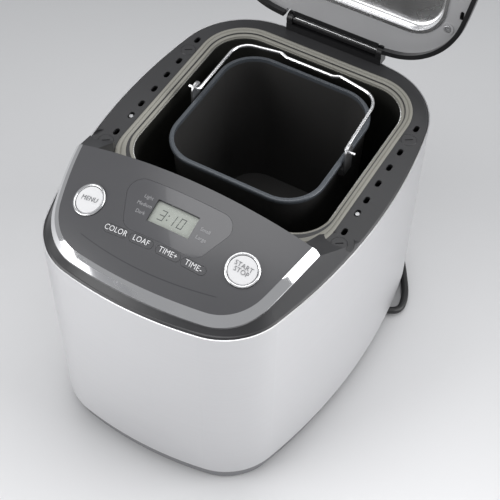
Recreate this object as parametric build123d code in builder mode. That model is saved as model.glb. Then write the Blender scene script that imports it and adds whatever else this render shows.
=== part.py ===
from build123d import *
from math import atan, atan2, cos, degrees, hypot, pi, radians, sin, sqrt, tan
import os

# Bread machine, lid open. Millimetres, +Z up, +X to the right seen from the control panel,
# origin on the table under the middle of the machine.

# ---------------------------------------------------------------- driving dimensions
half_width = 129.8          # widest point of the steel wrap
waist_y = -23.0             # where the sides are widest
front_y = -214.5            # middle of the bowed front
back_y = 133.3              # middle of the bowed back
front_bow, side_bow, back_bow = 330.0, 493.0, 495.0     # radii of the bowed sides
front_corner_radius = 60.0
back_corner_radius = 70.0

foot_height = 3.0
plinth_top = 18.0           # lower edge of the steel wrap
deck_z = 222.0              # flat deck round the oven
wrap_top = deck_z - 1.0
wrap_thickness = 1.0
wrap_draft = 3.9            # how much further in the wrap stands at its lower edge
plinth_inset = wrap_draft + 4.6

cavity_y = 10.0             # oven chamber centre
cavity_size = (184.8, 187.0)
cavity_radius = 33.0
cavity_floor = 62.0
pan_y = 13.0                # bread pan and drive shaft centre
pan_rim_z = deck_z

panel_back_y = -111.0       # straight back edge of the control panel
trim_outer = 8.4            # insets from the body outline
trim_inner = 15.0
trim_drop = 4.6             # lower edge of the trim, under the crown

open_angle = 101.0          # lid, from closed to the pose modelled here
hinge_y = 132.0
hinge_z = deck_z + 12.0

button_x, button_y = 70.2, -155.4
key_places = (-35.5, -12.0, 12.6, 35.4)
key_y = -170.5

display_x, display_y = 2.0, -145.3
control_board_depth = 16.0  # top of the control board under the panel at y = -150

motor_x, motor_y = -40.0, -140.0
power_board_place = (44.0, -142.0)
belt_z = 32.0
big_pulley_radius = 44.0
small_pulley_radius = 9.0

cord_diameter = 7.0
cord_exit_y = 36.0          # where the cord leaves the plinth's right side
running = 0.05              # radial clearance of a running fit
gap = 0.3                   # clearance between curved faces of different bodies

os.makedirs("parts", exist_ok=True)


def save(builder, label):
    """Names a finished piece and writes its STEP."""
    builder.part.label = label
    export_step(builder.part, f"parts/{label}.step")


# ---------------------------------------------------------------- shared outlines
def bows_meet(centre_a, radius_a, centre_b, radius_b, way):
    """Where two bows cross on the right, before their corner is rounded; way is -1 front, 1 back."""
    across, up = centre_b[0] - centre_a[0], centre_b[1] - centre_a[1]
    apart = hypot(across, up)
    along = (radius_a**2 - radius_b**2 + apart**2) / (2 * apart)
    off = sqrt(radius_a**2 - along**2)
    foot_x, foot_y = centre_a[0] + along * across / apart, centre_a[1] + along * up / apart
    both = [(foot_x + s * off * up / apart, foot_y - s * off * across / apart) for s in (-1, 1)]
    return max(both, key=lambda point: way * point[1])


def body_outline(inset=0.0, front_limit=None):
    """Plan of the body, `inset` in from the wrap; kept only in front of y = front_limit if given."""
    front_r, side_r, back_r = front_bow - inset, side_bow - inset, back_bow - inset
    side_centre = (half_width - side_bow, waist_y)
    front_meet = bows_meet((0, front_y + front_bow), front_r, side_centre, side_r, -1)
    back_meet = bows_meet((0, back_y - back_bow), back_r, side_centre, side_r, 1)
    front_left, back_left = (-front_meet[0], front_meet[1]), (-back_meet[0], back_meet[1])
    with BuildSketch() as face:
        with BuildLine():
            ThreePointArc(front_left, (0, front_y + inset), front_meet)
            ThreePointArc(front_meet, (half_width - inset, waist_y), back_meet)
            ThreePointArc(back_meet, (0, back_y - inset), back_left)
            ThreePointArc(back_left, (inset - half_width, waist_y), front_left)
        make_face()
        fillet(face.vertices().group_by(Axis.Y)[0], front_corner_radius - inset)
        fillet(face.vertices().group_by(Axis.Y)[-1], back_corner_radius - inset)
        if front_limit is not None:
            with Locations((0, front_limit)):
                Rectangle(400, 400, align=(Align.CENTER, Align.MAX), mode=Mode.INTERSECT)
    return face.sketch


def behind(inset, front_y_limit):
    """The body outline behind y = front_y_limit."""
    with BuildSketch() as face:
        add(body_outline(inset))
        with Locations((0, front_y_limit)):
            Rectangle(400, 600, align=(Align.CENTER, Align.MIN), mode=Mode.INTERSECT)
    return face.sketch


def rounded(size_x, size_y, radius, centre_y=0.0):
    """A rounded rectangle centred on the machine's middle plane."""
    with BuildSketch() as face:
        with Locations((0, centre_y)):
            RectangleRounded(size_x, size_y, radius)
    return face.sketch


def cavity_outline(grow=0.0):
    return rounded(
        cavity_size[0] + 2 * grow, cavity_size[1] + 2 * grow, cavity_radius + grow, cavity_y
    )


# ---------------------------------------------------------------- crowned surfaces
crown_radius = 385.0        # left to right crown of the panel and the lid
panel_roll, panel_crest_y, panel_crest_z = 256.0, -66.9, deck_z + 51.2
lid_roll, lid_crest_y, lid_crest_z = 480.0, -50.0, deck_z + 51.2
crown_reach = 150.0


def barrel(roll_radius, crest_y, crest_z):
    """A barrel lying along X: its top is a surface crowned both ways."""
    edge_z = crest_z - (crown_radius - sqrt(crown_radius**2 - crown_reach**2))
    axis_z = crest_z - roll_radius
    with BuildPart() as solid:
        with BuildSketch(Plane.XZ.offset(-crest_y)):
            with BuildLine():
                ThreePointArc((-crown_reach, edge_z), (0, crest_z), (crown_reach, edge_z))
                Polyline(
                    (crown_reach, edge_z),
                    (crown_reach, axis_z),
                    (-crown_reach, axis_z),
                    (-crown_reach, edge_z),
                )
            make_face()
        revolve(axis=Axis((0, crest_y, axis_z), (1, 0, 0)))
    return solid.part


def panel_level(depth):
    """The barrel whose surface lies `depth` under the control panel's."""
    return barrel(panel_roll - depth, panel_crest_y, panel_crest_z - depth)


def panel_slab(face, top_depth, bottom_depth=None, from_z=deck_z - 6):
    """A plan face made into a slab that follows the panel's crown between two depths."""
    with BuildPart() as slab:
        with BuildSketch(Plane.XY.offset(from_z)):
            add(face)
        extrude(amount=80)
        add(panel_level(top_depth), mode=Mode.INTERSECT)
        if bottom_depth is not None:
            add(panel_level(bottom_depth), mode=Mode.SUBTRACT)
    return slab.part


def panel_plane(x, y):
    """Plane lying on the panel surface at (x, y), its normal pointing out of the panel."""
    reach_y = y - panel_crest_y
    local_roll = panel_roll - (crown_radius - sqrt(crown_radius**2 - x**2))
    z = panel_crest_z - panel_roll + sqrt(local_roll**2 - reach_y**2)
    slope_y = -reach_y / sqrt(local_roll**2 - reach_y**2)
    slope_x = -x / sqrt(crown_radius**2 - x**2)
    return Plane(origin=(x, y, z), x_dir=(1, 0, slope_x), z_dir=(-slope_x, -slope_y, 1))


board_top = panel_plane(0, -150.0).offset(-control_board_depth)

# ================================================================ base and wrap
with BuildPart() as base_tray:
    with BuildSketch(Plane.XY.offset(foot_height)):
        add(body_outline(plinth_inset))
    extrude(amount=plinth_top - foot_height)
    with BuildSketch(Plane.XY.offset(foot_height + 2.5)):
        add(body_outline(plinth_inset + 2.5))
    extrude(amount=plinth_top, mode=Mode.SUBTRACT)
    # ledge that carries the wrap, with a lip standing up inside it
    with BuildSketch(Plane.XY.offset(plinth_top - 2.5)):
        add(body_outline(wrap_draft + wrap_thickness + 0.3))
        add(body_outline(plinth_inset + 2.5), mode=Mode.SUBTRACT)
    extrude(amount=2.5)
    with BuildSketch(Plane.XY.offset(plinth_top)):
        add(body_outline(wrap_draft + wrap_thickness + 0.4))
        add(body_outline(wrap_draft + wrap_thickness + 2.4), mode=Mode.SUBTRACT)
    extrude(amount=9)
    # air slots through the floor
    with BuildSketch(Plane.XY.offset(foot_height)):
        with Locations((-10, -60)):
            with GridLocations(12, 0, 9, 1):
                SlotOverall(40, 4, rotation=90)
    extrude(amount=2.5, mode=Mode.SUBTRACT)
    # posts for the motor bracket and the circuit board
    with BuildSketch(Plane.XY.offset(foot_height + 2.5)):
        with Locations((motor_x, motor_y)):
            with GridLocations(76, 56, 2, 2):
                Circle(5)
    extrude(amount=38)
    with BuildSketch(Plane.XY.offset(foot_height + 2.5)):
        with Locations(power_board_place):
            with GridLocations(66, 46, 2, 2):
                Circle(4)
    extrude(amount=24.5)
    # channel for the power cord, open below and to the right
    with BuildSketch(Plane.XY.offset(foot_height)):
        with Locations((86, cord_exit_y)):
            Rectangle(60, 21, align=(Align.MIN, Align.CENTER))
        add(body_outline(plinth_inset + 1), mode=Mode.INTERSECT)
    extrude(amount=12.5)
    with BuildSketch(Plane.XY.offset(foot_height - 1)):
        with Locations((88.5, cord_exit_y)):
            Rectangle(60, 16, align=(Align.MIN, Align.CENTER))
    extrude(amount=12, mode=Mode.SUBTRACT)
save(base_tray, "base_tray")

foot_places = ((-82, -158), (82, -158), (-80, 88), (80, 88))
with BuildPart() as feet:
    with Locations(*foot_places):
        Cylinder(9, foot_height, align=(Align.CENTER, Align.CENTER, Align.MIN))
    chamfer(feet.edges().group_by(Axis.Z)[0], 0.8)
save(feet, "feet")

vent_size = (96.0, 62.0)
vent_z = 120.0
with BuildPart() as steel_wrap:
    with BuildSketch(Plane.XY.offset(plinth_top)):
        add(body_outline(wrap_draft))
    with BuildSketch(Plane.XY.offset(wrap_top)):
        add(body_outline())
    loft()
    with BuildSketch(Plane.XY.offset(plinth_top)):
        add(body_outline(wrap_draft + wrap_thickness))
    with BuildSketch(Plane.XY.offset(wrap_top)):
        add(body_outline(wrap_thickness))
    loft(mode=Mode.SUBTRACT)
    # opening for the vent panel in the back
    with BuildSketch(Plane.XZ.offset(-back_y - 10)):
        with Locations((0, vent_z)):
            RectangleRounded(*vent_size, 6)
    extrude(amount=30, mode=Mode.SUBTRACT)
save(steel_wrap, "steel_wrap")

with BuildPart() as vent_panel:
    with BuildSketch(Plane.XZ.offset(-124.5)):
        with Locations((0, vent_z)):
            RectangleRounded(vent_size[0] + 12, vent_size[1] + 12, 8)
    extrude(amount=2.0)
    with BuildSketch(Plane.XZ.offset(-124.5)):
        with Locations((0, vent_z)):
            RectangleRounded(vent_size[0] - 0.6, vent_size[1] - 0.6, 5.7)
    extrude(amount=-7.0)
    with BuildSketch(Plane.XZ.offset(-133)):
        with Locations((0, vent_z)):
            with GridLocations(0, 7.0, 1, 7):
                SlotOverall(78, 3.2)
    extrude(amount=14, mode=Mode.SUBTRACT)
save(vent_panel, "rear_vent_panel")

# ================================================================ top housing
deck_edge = 1.3
ramp_back_y = -62.0
notch_place = (112.1, -73.5)
slot_ys = (72.6, 41.0, 20.8, 0.1, -21.0, -37.3, -60.2)
slot_x = 110.0
plug_places = (
    (-notch_place[0], notch_place[1]), notch_place, (-110.2, 57.5), (110.2, 57.5),
)
gasket_size, gasket_radius, gasket_y = (205.2, 219.0), 43.0, 4.4
post_reach = 7.6            # board posts, from the circuit board up into the housing


def around(edge):
    """Angle of an edge's middle about the nose, to match edges of two outlines."""
    middle = edge @ 0.5
    return atan2(middle.Y - (panel_back_y + front_y) / 2, middle.X)


def nose_solid():
    """Bezel: ruled sides from the deck outline up to the trim's lower edge, crowned on top."""
    foot = (Plane.XY.offset(deck_z - 1.0) * body_outline(deck_edge + 0.9, ramp_back_y)).faces()[0]
    crown = panel_slab(body_outline(trim_outer, panel_back_y), trim_drop).faces().sort_by(Axis.Z)[-1]
    pairs = zip(sorted(foot.edges(), key=around), sorted(crown.edges(), key=around))
    sides = [Face.make_surface_from_curves(low, high) for low, high in pairs]
    return Solid(Shell([foot, crown, *sides]))


with BuildPart() as top_housing:
    # deck plate and the skirt inside the wrap
    with BuildSketch(Plane.XY.offset(deck_z - 3.0)):
        add(body_outline(deck_edge))
    extrude(amount=3.0)
    chamfer(top_housing.edges().group_by(Axis.Z)[-1], 1.2)
    with BuildSketch(Plane.XY.offset(deck_z - 16)):
        add(body_outline(deck_edge))
        add(body_outline(deck_edge + 2.0), mode=Mode.SUBTRACT)
    extrude(amount=14)
    # nose: bezel sloping up to the trim, side ramps behind it
    add(nose_solid())
    add(panel_slab(body_outline(trim_inner, panel_back_y), 2.8))
    # the panel's back edge is a wall between the two side ramps
    with BuildSketch(Plane.XY.offset(deck_z)):
        with Locations((0, panel_back_y)):
            Rectangle(196, 100, align=(Align.CENTER, Align.MIN))
    extrude(amount=60, mode=Mode.SUBTRACT)
    # oven opening
    with BuildSketch(Plane.XY.offset(deck_z - 5)):
        add(cavity_outline(3.6))
    extrude(amount=10, mode=Mode.SUBTRACT)
    # the gasket's flat band runs past the feet of the ramps
    with BuildSketch(Plane.XY.offset(deck_z)):
        add(rounded(gasket_size[0] + 0.4, gasket_size[1] + 0.4, gasket_radius + 0.2, gasket_y))
    extrude(amount=60, mode=Mode.SUBTRACT)
    # room inside the nose
    add(
        panel_slab(body_outline(trim_inner + 2.2, panel_back_y - 3.0), 5.6, from_z=deck_z - 8),
        mode=Mode.SUBTRACT,
    )
    for side in (-1, 1):
        # screw well cut into the foot of the ramp
        with BuildSketch(Plane.XY.offset(deck_z)):
            with Locations((side * notch_place[0], notch_place[1])):
                Circle(12.5)
        extrude(amount=40, mode=Mode.SUBTRACT)
        with BuildSketch(Plane.XY.offset(deck_z - 3)):
            with Locations(*[(side * slot_x, y) for y in slot_ys]):
                SlotOverall(8.0, 4.5, rotation=90)
        extrude(amount=3, mode=Mode.SUBTRACT)
        with BuildSketch(panel_plane(side * button_x, button_y).offset(-14)):
            Circle(12.6)
        extrude(amount=16, mode=Mode.SUBTRACT)
    with BuildSketch(Plane.XY.offset(deck_z - 1.5)):
        with Locations(*plug_places):
            Circle(6.9)
    extrude(amount=1.5, mode=Mode.SUBTRACT)
    # openings under the keys and the display
    for x in key_places:
        with BuildSketch(panel_plane(x, key_y).offset(-14)):
            RectangleRounded(16, 6, 2.5)
        extrude(amount=16, mode=Mode.SUBTRACT)
    with BuildSketch(Plane.XY.offset(deck_z)):
        with Locations((display_x, display_y)):
            RectangleRounded(46, 26, 2)
    extrude(amount=60, mode=Mode.SUBTRACT)
    # posts that hold the control board
    with BuildSketch(board_top):
        with GridLocations(110, 36, 2, 2):
            Circle(3)
    extrude(amount=post_reach)
save(top_housing, "top_housing")

with BuildPart() as deck_plugs:
    with BuildSketch(Plane.XY.offset(deck_z - 1.5)):
        with Locations(*plug_places):
            Circle(6.8)
    extrude(amount=1.8)
    chamfer(deck_plugs.edges().group_by(Axis.Z)[-1], 0.4)
    with BuildSketch(Plane.XY.offset(deck_z - 0.4)):
        with Locations(*plug_places):
            SlotOverall(7, 1.4, rotation=35)
    extrude(amount=2, mode=Mode.SUBTRACT)
save(deck_plugs, "deck_plugs")

with BuildPart() as deck_screws:
    with Locations((-slot_x, -37.3, deck_z - 8), (slot_x, -37.3, deck_z - 8)):
        Cylinder(2.1, 7.2, align=(Align.CENTER, Align.CENTER, Align.MIN))
    fillet(deck_screws.edges().group_by(Axis.Z)[-1], 0.6)
save(deck_screws, "deck_screws")

# ================================================================ control panel
ring_radius, ring_bore = 14.2, 12.2
button_radius = 11.8
display_back_y, display_front_y = -123.8, -166.0
display_half_back, display_half_front = 53.5, 34.0
display_middle_x = 1.5


def display_outline(shrink=0.0):
    """Trapezoid of the display window, wider towards the oven."""
    lean = (display_half_back - display_half_front) / (display_back_y - display_front_y)
    side_shift = shrink * hypot(1, lean)
    half_back = display_half_back - lean * shrink - side_shift
    half_front = display_half_front + lean * shrink - side_shift
    back, front = display_back_y - shrink, display_front_y + shrink
    with BuildSketch() as face:
        with BuildLine():
            Polyline(
                (display_middle_x - half_back, back), (display_middle_x + half_back, back),
                (display_middle_x + half_front, front), (display_middle_x - half_front, front),
                close=True,
            )
        make_face()
        fillet(face.vertices(), 12 - shrink)
    return face.sketch


with BuildPart() as control_fascia:
    add(panel_slab(body_outline(trim_inner + 0.05, panel_back_y), 0.0, 2.7))
    add(panel_slab(display_outline(), -1.0, 1.7), mode=Mode.SUBTRACT)
    for side in (-1, 1):
        with BuildSketch(panel_plane(side * button_x, button_y).offset(-6)):
            Circle(ring_radius + 0.2)
        extrude(amount=9, mode=Mode.SUBTRACT)
    for x in key_places:
        with BuildSketch(panel_plane(x, key_y).offset(-5)):
            RectangleRounded(21.9, 7.8, 3.8)
        extrude(amount=7, mode=Mode.SUBTRACT)
    with BuildSketch(Plane.XY.offset(deck_z)):
        with Locations((display_x, display_y)):
            RectangleRounded(43.2, 24, 1)
    extrude(amount=60, mode=Mode.SUBTRACT)
save(control_fascia, "control_fascia")

with BuildSketch() as trim_plan:
    add(body_outline(trim_outer, panel_back_y))
    add(body_outline(trim_inner, panel_back_y), mode=Mode.SUBTRACT)
trim_crown = panel_slab(body_outline(trim_outer, panel_back_y), 0.0).faces().sort_by(Axis.Z)[-1]
crown_middles = [edge @ 0.5 for edge in trim_crown.edges() if (edge @ 0.5).Y < panel_back_y - 0.5]
with BuildPart() as chrome_trim:
    add(panel_slab(trim_plan.sketch, 0.0, trim_drop - 0.05))
    outer_edges = [
        edge for edge in chrome_trim.edges()
        if any((edge @ 0.5 - middle).length < 0.5 for middle in crown_middles)
    ]
    chamfer(outer_edges, 3.6)
save(chrome_trim, "chrome_trim")

with BuildPart() as display_window:
    add(panel_slab(display_outline(0.2), 0.1, 1.6))
save(display_window, "display_window")

with BuildPart() as lcd_module:
    with BuildSketch(panel_plane(display_x, display_y).offset(-5.6)):
        RectangleRounded(42, 22.8, 0.6)
    extrude(amount=2.8)
save(lcd_module, "lcd_module")

button_planes = {
    "menu_button": panel_plane(-button_x, button_y),
    "start_button": panel_plane(button_x, button_y),
}


def edges_at(builder, plane):
    """Edges that lie in a plane."""
    return [
        edge for edge in builder.edges() if abs(plane.to_local_coords(edge @ 0.5).Z) < 0.01
        and abs(plane.to_local_coords(edge @ 0.25).Z) < 0.01
    ]


with BuildPart() as button_rings:
    for plane in button_planes.values():
        with BuildSketch(plane.offset(-2.6)):
            Circle(ring_radius)
            Circle(ring_bore, mode=Mode.SUBTRACT)
        extrude(amount=4.1)
    for plane in button_planes.values():
        fillet(edges_at(button_rings, plane.offset(1.5)), 0.8)
save(button_rings, "button_rings")

for button_name, plane in button_planes.items():
    with BuildPart() as button:
        with BuildSketch(plane.offset(-4)):
            Circle(button_radius)
        extrude(amount=5)
        fillet(edges_at(button, plane.offset(1)), 1.0)
        with BuildSketch(plane.offset(-5.5)):
            Circle(3)
        extrude(amount=1.6)
    save(button, button_name)

key_names = ("color_key", "loaf_key", "time_up_key", "time_down_key")
for key_name, x in zip(key_names, key_places):
    with BuildPart() as key:
        with BuildSketch(panel_plane(x, key_y).offset(-2.0)):
            RectangleRounded(21.5, 7.4, 3.6)
        extrude(amount=2.05)
        fillet(edges_at(key, panel_plane(x, key_y).offset(0.05)), 0.15)
        with BuildSketch(panel_plane(x, key_y).offset(-8)):
            Rectangle(8, 3)
        extrude(amount=6.1)
    save(key, key_name)

power_board_z = 30.0
board_x, board_y = power_board_place
with BuildPart() as circuit_boards:
    with BuildSketch(board_top.offset(-1.6)):
        with Locations((0, -2)):
            Rectangle(156, 46)
    extrude(amount=1.6)
    with BuildSketch(Plane.XY.offset(power_board_z)):
        with Locations(power_board_place):
            Rectangle(76, 56)
    extrude(amount=1.6)
save(circuit_boards, "circuit_boards")

stems = [(panel_plane(side * button_x, button_y), 5.5, 1.6) for side in (-1, 1)]
stems += [(panel_plane(x, key_y), 8.0, 0.9) for x in key_places]
with BuildPart() as board_parts:
    # one switch under each button and key
    for plane, stem_depth, free in stems:
        tip = board_top.to_local_coords(plane.origin - plane.z_dir * stem_depth)
        height = tip.Z - free
        with BuildSketch(board_top):
            with Locations((tip.X, tip.Y)):
                Rectangle(6, 6)
        extrude(amount=0.7 * height)
        with BuildSketch(board_top):
            with Locations((tip.X, tip.Y)):
                Circle(1.7)
        extrude(amount=height)
    # transformer, relay and capacitor
    with BuildSketch(Plane.XY.offset(power_board_z + 1.6)):
        with Locations((board_x - 18, board_y - 4)):
            Rectangle(32, 30)
    extrude(amount=24)
    with BuildSketch(Plane.XY.offset(power_board_z + 4)):
        with Locations((board_x - 18, board_y - 4)):
            Rectangle(20, 40)
    extrude(amount=18)
    with BuildSketch(Plane.XY.offset(power_board_z + 1.6)):
        with Locations((board_x + 20, board_y + 12)):
            RectangleRounded(20, 16, 1)
    extrude(amount=16)
    with BuildSketch(Plane.XY.offset(power_board_z + 1.6)):
        with Locations((board_x + 20, board_y - 14)):
            Circle(9)
    extrude(amount=28)
save(board_parts, "board_parts")

# ================================================================ oven
liner_top = deck_z - 3.1
drive_centre = (0, pan_y)
element_z = 78.0
element_radius = 3.25
sensor_place = (30, 110)

with BuildPart() as oven_room:
    with BuildSketch(Plane.XY.offset(cavity_floor)):
        add(cavity_outline())
    extrude(amount=180)
    fillet(oven_room.edges().group_by(Axis.Z)[0], 8)

with BuildPart() as oven_liner:
    with BuildSketch(Plane.XY.offset(cavity_floor - 1)):
        add(cavity_outline(1.0))
    extrude(amount=liner_top - cavity_floor + 1)
    fillet(oven_liner.edges().group_by(Axis.Z)[0], 9)
    with BuildSketch(Plane.XY.offset(liner_top - 1)):
        add(cavity_outline(6.0))
    extrude(amount=1)
    add(oven_room.part, mode=Mode.SUBTRACT)
    # holes for the drive bearing, the element's ends and the temperature probe
    with BuildSketch(Plane.XY.offset(cavity_floor - 3)):
        with Locations(drive_centre):
            Circle(9.3)
    extrude(amount=6, mode=Mode.SUBTRACT)
    with BuildSketch(Plane.YZ.offset(85)):
        with Locations((2, element_z), (18, element_z)):
            Circle(5.3)
    extrude(amount=15, mode=Mode.SUBTRACT)
    with BuildSketch(Plane.XZ.offset(80)):
        with Locations(sensor_place):
            Circle(2.9)
    extrude(amount=15, mode=Mode.SUBTRACT)
save(oven_liner, "oven_liner")

with BuildPart() as oven_gasket:
    # flat band on the deck
    with BuildSketch(Plane.XY.offset(deck_z)):
        add(rounded(*gasket_size, gasket_radius, gasket_y))
        add(cavity_outline(2.0), mode=Mode.SUBTRACT)
    extrude(amount=1.2)
    chamfer(oven_gasket.edges().group_by(Axis.Z)[-1], 0.4)
    # wall down through the oven opening, with a lower inner band
    with BuildSketch(Plane.XY.offset(liner_top)):
        add(cavity_outline(3.4))
        add(cavity_outline(2.0), mode=Mode.SUBTRACT)
    extrude(amount=deck_z - liner_top + 0.6)
    with BuildSketch(Plane.XY.offset(liner_top)):
        add(cavity_outline(2.2))
        add(cavity_outline(0.8), mode=Mode.SUBTRACT)
    extrude(amount=2.6)
save(oven_gasket, "oven_gasket")

element_route = [
    (108, 2), (80, 2), (80, -70), (-80, -70), (-80, 90), (80, 90), (80, 18), (108, 18),
]
with BuildPart() as heating_element:
    with BuildLine(Plane.XY.offset(element_z)):
        element_path = FilletPolyline(*element_route, radius=[8, 14, 14, 14, 14, 8])
    with BuildSketch(element_path ^ 0):
        Circle(element_radius)
    sweep(path=element_path)
save(heating_element, "heating_element")

with BuildPart() as element_mounts:
    # ceramic sleeves where the ends go through the wall, and posts on the floor
    for place in (2, 18):
        with BuildSketch(Plane.YZ.offset(90)):
            with Locations((place, element_z)):
                Circle(5)
        extrude(amount=13)
        with BuildSketch(Plane.YZ.offset(93.7)):
            with Locations((place, element_z)):
                Circle(7)
        extrude(amount=3)
        with BuildSketch(Plane.YZ.offset(85)):
            with Locations((place, element_z)):
                Circle(element_radius + running)
        extrude(amount=25, mode=Mode.SUBTRACT)
    with BuildSketch(Plane.XY.offset(cavity_floor)):
        with Locations((-80, 10), (0, 90), (0, -70), (80, 54)):
            Circle(3.5)
    extrude(amount=element_z - element_radius - cavity_floor - 0.1)
save(element_mounts, "element_mounts")

with BuildPart() as oven_sensors:
    # temperature probe through the front wall
    with BuildSketch(Plane.XZ.offset(72)):
        with Locations(sensor_place):
            Circle(2.5)
    extrude(amount=26)
    fillet(oven_sensors.edges().group_by(Axis.Y)[-1], 1.5)
    with BuildSketch(Plane.XZ.offset(84.7)):
        with Locations(sensor_place):
            Circle(7)
    extrude(amount=3)
    # thermal fuse on the right wall
    with BuildSketch(Plane.YZ.offset(93.6)):
        with Locations((-30, 120)):
            RectangleRounded(26, 12, 2)
    extrude(amount=1.5)
    with BuildSketch(Plane.XZ.offset(40)):
        with Locations((98, 120)):
            Circle(3)
    extrude(amount=-20)
save(oven_sensors, "oven_sensors")

# ================================================================ bread pan
pan_top, pan_bottom = 220.0, 76.0
pan_wall = 1.6
seat_radius = 42.0
ear_x = 74.2
bail_y, bail_z = 12.7, 229.3
bail_wire = 1.5


def pan_outline(size, radius):
    return rounded(size, size, radius, pan_y)


with BuildPart() as bread_pan:
    with BuildSketch(Plane.XY.offset(pan_bottom)):
        add(pan_outline(128, 30))
    with BuildSketch(Plane.XY.offset(pan_top)):
        add(pan_outline(141, 33))
    loft()
    with BuildSketch(Plane.XY.offset(pan_rim_z - 3.5)):
        add(pan_outline(146, 35.5))
    extrude(amount=3.5)
    rim_edges = bread_pan.edges().group_by(Axis.Z)[-1]
    fillet(rim_edges, 1.7)
    with BuildSketch(Plane.XY.offset(pan_bottom + 2)):
        add(pan_outline(128.1 - 2 * pan_wall, 30 - pan_wall))
    with BuildSketch(Plane.XY.offset(pan_rim_z)):
        add(pan_outline(141.1 - 2 * pan_wall, 33 - pan_wall))
    loft(mode=Mode.SUBTRACT)
    # skirt that sits in the oven's seat
    with BuildSketch(Plane.XY.offset(66)):
        with Locations(drive_centre):
            Circle(seat_radius)
            Circle(seat_radius - 2, mode=Mode.SUBTRACT)
    extrude(amount=10.5)
    with BuildSketch(Plane.XY.offset(pan_bottom - 2)):
        with Locations(drive_centre):
            Circle(6.2)
    extrude(amount=6, mode=Mode.SUBTRACT)
save(bread_pan, "bread_pan")

with BuildPart() as pan_bushing:
    with BuildSketch(Plane.XY.offset(73)):
        with Locations(drive_centre):
            Circle(11)
    extrude(amount=3)
    with BuildSketch(Plane.XY.offset(73)):
        with Locations(drive_centre):
            Circle(6.1)
    extrude(amount=6.5)
    with BuildSketch(Plane.XY.offset(72)):
        with Locations(drive_centre):
            Circle(4 + running)
    extrude(amount=10, mode=Mode.SUBTRACT)
save(pan_bushing, "pan_bushing")

with BuildPart() as bail_brackets:
    for side in (-1, 1):
        with BuildSketch(Plane.YZ.offset(side * ear_x)):
            with Locations((bail_y, 206)):
                Rectangle(13.2, bail_z - 206, align=(Align.CENTER, Align.MIN))
            with Locations((bail_y, bail_z)):
                Circle(6.6)
                Circle(bail_wire + 0.06, mode=Mode.SUBTRACT)
        extrude(amount=side * 1.6)
        with BuildSketch(Plane.YZ.offset(side * 70.4)):
            with Locations((bail_y, 206)):
                Rectangle(15, 8, align=(Align.CENTER, Align.MIN))
        extrude(amount=side * (ear_x - 70.4 + 0.1))
save(bail_brackets, "bail_brackets")

# the bail lies back over the rim, tipped up a little
bail_tilt = radians(3.5)
bail_plane = Plane(
    origin=(0, bail_y, bail_z), x_dir=(1, 0, 0), z_dir=(0, -sin(bail_tilt), cos(bail_tilt))
)
bail_half = [(81.5, 0), (71.8, 0), (69.6, 65.7), (29.4, 72.6), (23.1, 69.9)]
with BuildPart() as bail_handle:
    with BuildLine(bail_plane):
        bail_path = FilletPolyline(
            *bail_half,
            *[(-x, y) for x, y in reversed(bail_half)],
            radius=[2.0, 18, 4, 4, 4, 4, 18, 2.0],
        )
    with BuildSketch(bail_path ^ 0):
        Circle(bail_wire)
    sweep(path=bail_path)
save(bail_handle, "bail_handle")

with BuildPart() as pan_shaft:
    with Locations((*drive_centre, 67.5)):
        Cylinder(4, 32.5, align=(Align.CENTER, Align.CENTER, Align.MIN))
    chamfer(pan_shaft.edges().group_by(Axis.Z)[-1], 0.6)
save(pan_shaft, "pan_shaft")

with BuildPart() as pan_coupling:
    with BuildSketch(Plane.XY.offset(67.5)):
        with Locations(drive_centre):
            SlotOverall(28, 6)
            Circle(7)
            Circle(4, mode=Mode.SUBTRACT)
    extrude(amount=4.5)
save(pan_coupling, "pan_coupling")

with BuildPart() as kneading_paddle:
    with BuildSketch(Plane.XY.offset(80)):
        with Locations(drive_centre):
            Circle(8)
    extrude(amount=32)
    with BuildSketch(Plane.XY.offset(80)):
        with Locations((24, pan_y)):
            SlotOverall(48, 5)
    extrude(amount=38, taper=3)
    with BuildSketch(Plane.XZ.offset(-pan_y + 20)):
        with BuildLine():
            Polyline((-20, 112.1), (14, 112.1), (36, 130), (-20, 130), close=True)
        make_face()
    extrude(amount=-40, mode=Mode.SUBTRACT)
    with BuildSketch(Plane.XY.offset(70)):
        with Locations(drive_centre):
            Circle(4 + running)
    extrude(amount=36, mode=Mode.SUBTRACT)
save(kneading_paddle, "kneading_paddle")

# ================================================================ drive
with BuildPart() as pan_seat:
    with BuildSketch(Plane.XY.offset(cavity_floor)):
        with Locations(drive_centre):
            Circle(52)
            Circle(38, mode=Mode.SUBTRACT)
    extrude(amount=10)
    with BuildSketch(Plane.XY.offset(65.95)):
        with Locations(drive_centre):
            Circle(seat_radius + gap)
    extrude(amount=10, mode=Mode.SUBTRACT)
    chamfer(pan_seat.edges().group_by(Axis.Z)[-1], 1.0)
save(pan_seat, "pan_seat")

with BuildPart() as drive_bearing:
    with BuildSketch(Plane.XY.offset(44)):
        with Locations(drive_centre):
            Circle(14)
    extrude(amount=17)
    with BuildSketch(Plane.XY.offset(58)):
        with Locations(drive_centre):
            Circle(26)
    extrude(amount=3)
    with BuildSketch(Plane.XY.offset(58)):
        with Locations(drive_centre):
            Circle(9)
    extrude(amount=5)
    with BuildSketch(Plane.XY.offset(40)):
        with Locations(drive_centre):
            Circle(4 + running)
    extrude(amount=30, mode=Mode.SUBTRACT)
save(drive_bearing, "drive_bearing")

with BuildPart() as drive_shaft:
    with Locations((*drive_centre, 24)):
        Cylinder(4, 39.5, align=(Align.CENTER, Align.CENTER, Align.MIN))
save(drive_shaft, "drive_shaft")

with BuildPart() as drive_coupling:
    with BuildSketch(Plane.XY.offset(63.5)):
        with Locations(drive_centre):
            Circle(15)
    extrude(amount=3)
    with BuildSketch(Plane.XY.offset(63.5)):
        with Locations((0, pan_y - 10.5), (0, pan_y + 10.5)):
            Rectangle(6, 5)
    extrude(amount=7.5)
save(drive_coupling, "drive_coupling")


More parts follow.
